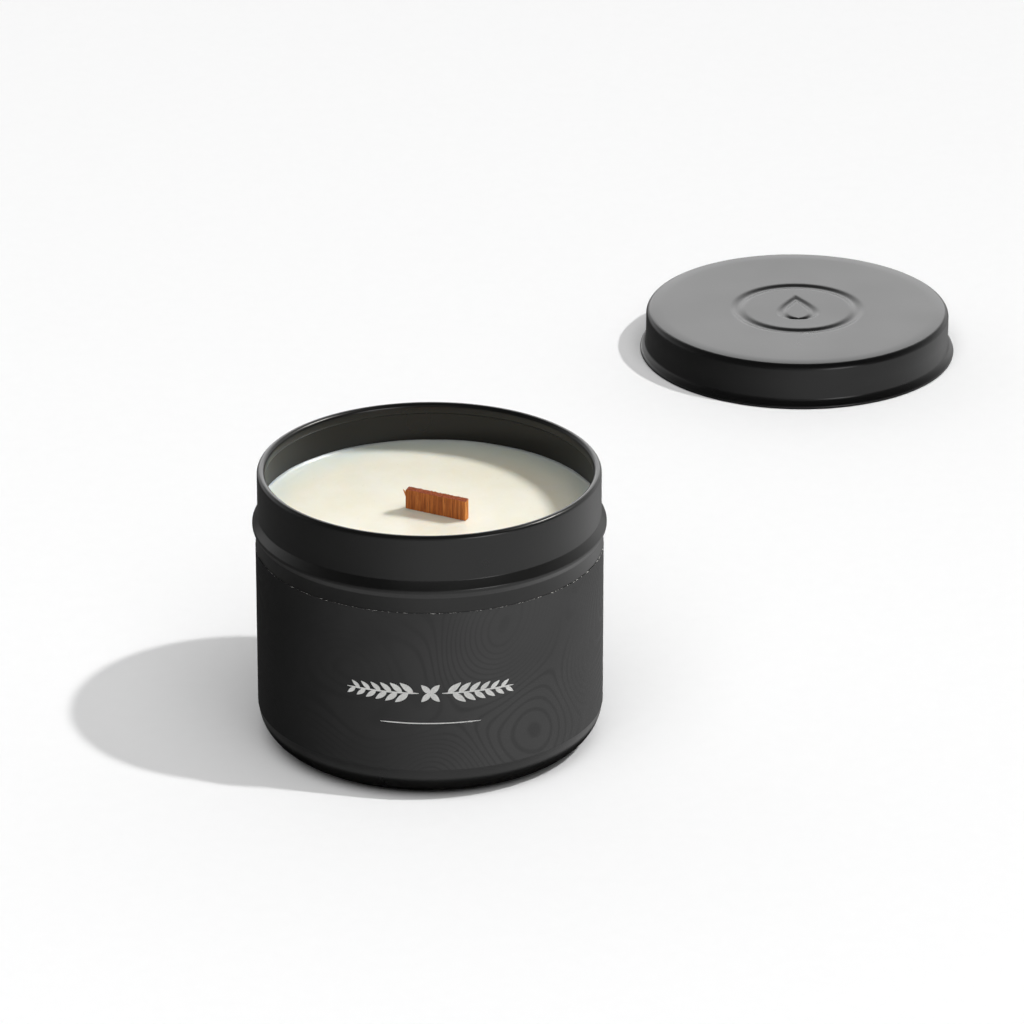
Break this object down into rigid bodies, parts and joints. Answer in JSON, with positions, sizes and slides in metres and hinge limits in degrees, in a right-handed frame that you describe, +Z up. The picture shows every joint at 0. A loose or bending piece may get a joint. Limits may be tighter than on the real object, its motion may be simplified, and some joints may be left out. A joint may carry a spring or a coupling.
{
  "type": "candle tin",
  "caption": "Round slip-lid candle tin, open, with poured wax, a flat wooden wick and its lid lying beside it.",
  "frame": {"origin": "centre of the tin's foot ring, on the surface that the tin stands on", "axes": "+Z up along the tin's axis, towards its mouth; -Y is the printed front; +X is to the right of it"},
  "size_m": [0.1764, 0.3065, 0.0645],
  "materials": {
    "tin_paint": "satin",
    "lid_paint": "satin",
    "wax": "satin",
    "wick_wood": "matte",
    "clip_steel": "satin",
    "sticker_foam": "matte",
    "label_paper": "satin",
    "base_label_paper": "matte",
    "print_ink": "matte"
  },
  "bodies": {
    "tin": {"tin_body": "tin_paint", "wax_fill": "wax", "wooden_wick": "wick_wood", "wick_clip": "clip_steel", "wick_sticker": "sticker_foam", "body_label": "label_paper", "base_label": "base_label_paper"},
    "lid": {"lid": "lid_paint"}
  },
  "joints": [
    {"name": "lid_carry", "type": "slide", "parent": "tin", "child": "lid", "axis": [-0.3587, -0.8464, 0.3936], "range_m": [0, 0.26678]}
  ]
}
